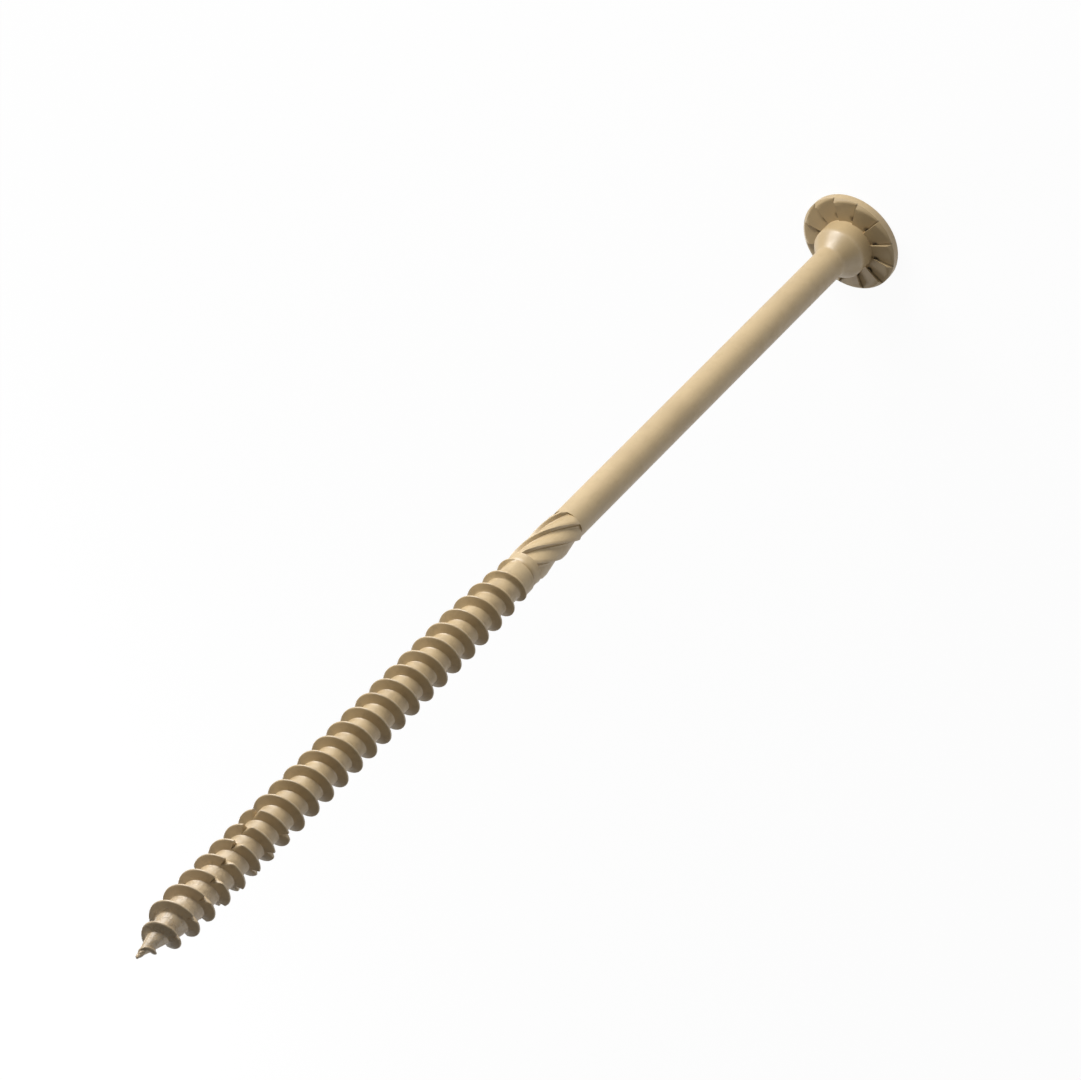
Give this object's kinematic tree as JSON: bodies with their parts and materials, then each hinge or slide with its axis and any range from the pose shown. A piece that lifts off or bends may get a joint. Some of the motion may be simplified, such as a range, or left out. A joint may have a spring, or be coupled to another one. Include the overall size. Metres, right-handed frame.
{
  "type": "timber construction screw",
  "caption": "Long partially threaded timber screw with a toothed washer head, smooth shank, fluted reaming section, notched lower thread and gimlet point.",
  "frame": {"origin": "middle of the head's top, on the surface that the screw stands on", "axes": "+Z runs along the screw's axis from the top of the head up to the point"},
  "size_m": [0.0176, 0.0176, 0.2055],
  "materials": {
    "coating": "satin tan corrosion-resistant coating on steel"
  },
  "bodies": {
    "root": {"screw": "coating"}
  },
  "joints": []
}
